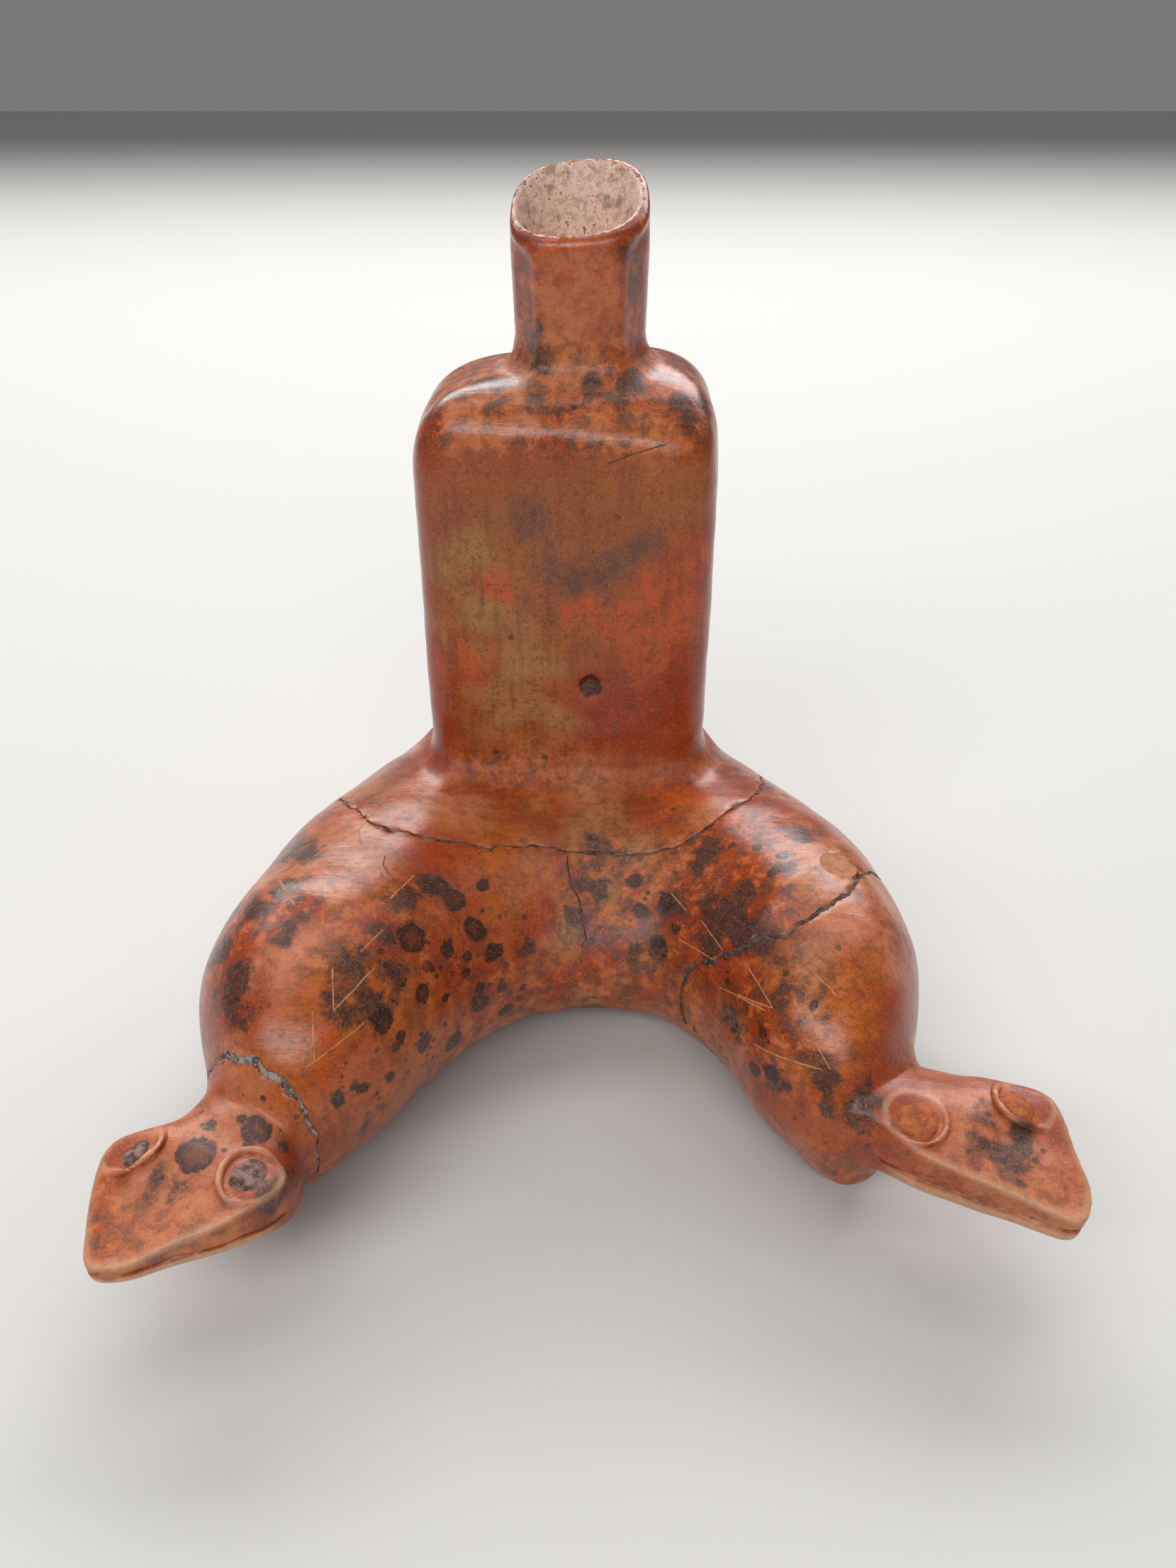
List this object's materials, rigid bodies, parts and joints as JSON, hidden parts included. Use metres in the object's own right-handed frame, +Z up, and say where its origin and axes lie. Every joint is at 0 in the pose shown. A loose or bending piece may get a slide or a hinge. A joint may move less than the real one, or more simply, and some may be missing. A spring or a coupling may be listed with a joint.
{
  "type": "two-headed snake vessel",
  "caption": "Hand-built pottery vessel: hollow snake bodies that join under a box-shaped flask with a square spout, with flat wedge heads, and a mended break.",
  "frame": {"origin": "centre of the bounding box, on the surface that the vessel stands on", "axes": "+Z up to the spout's rim, -Y to the front, where the heads point, and +X to the right as seen from the front"},
  "size_m": [0.2824, 0.2762, 0.278],
  "materials": {
    "burnished_clay": "burnished",
    "dark_clay": "burnished",
    "filler": "matte",
    "patch_filler": "matte"
  },
  "bodies": {
    "root": {"spout": "burnished_clay", "flask_shoulder": "burnished_clay", "flask_walls": "burnished_clay", "flask_skirt": "burnished_clay", "skirt_break_filler": "filler", "left_snake": "burnished_clay", "seam_filler": "filler", "right_snake_root": "burnished_clay", "right_snake_end": "burnished_clay", "right_break_filler": "filler", "patch_filler": "patch_filler", "left_neck_filler": "filler", "left_head": "burnished_clay", "left_head_left_eye_ring": "burnished_clay", "left_head_left_eye_pellet": "dark_clay", "left_head_right_eye_ring": "burnished_clay", "left_head_right_eye_pellet": "dark_clay", "right_head": "burnished_clay", "right_head_left_eye_ring": "burnished_clay", "right_head_left_eye_pellet": "dark_clay", "right_head_right_eye_ring": "burnished_clay", "right_head_right_eye_pellet": "dark_clay"}
  },
  "joints": []
}
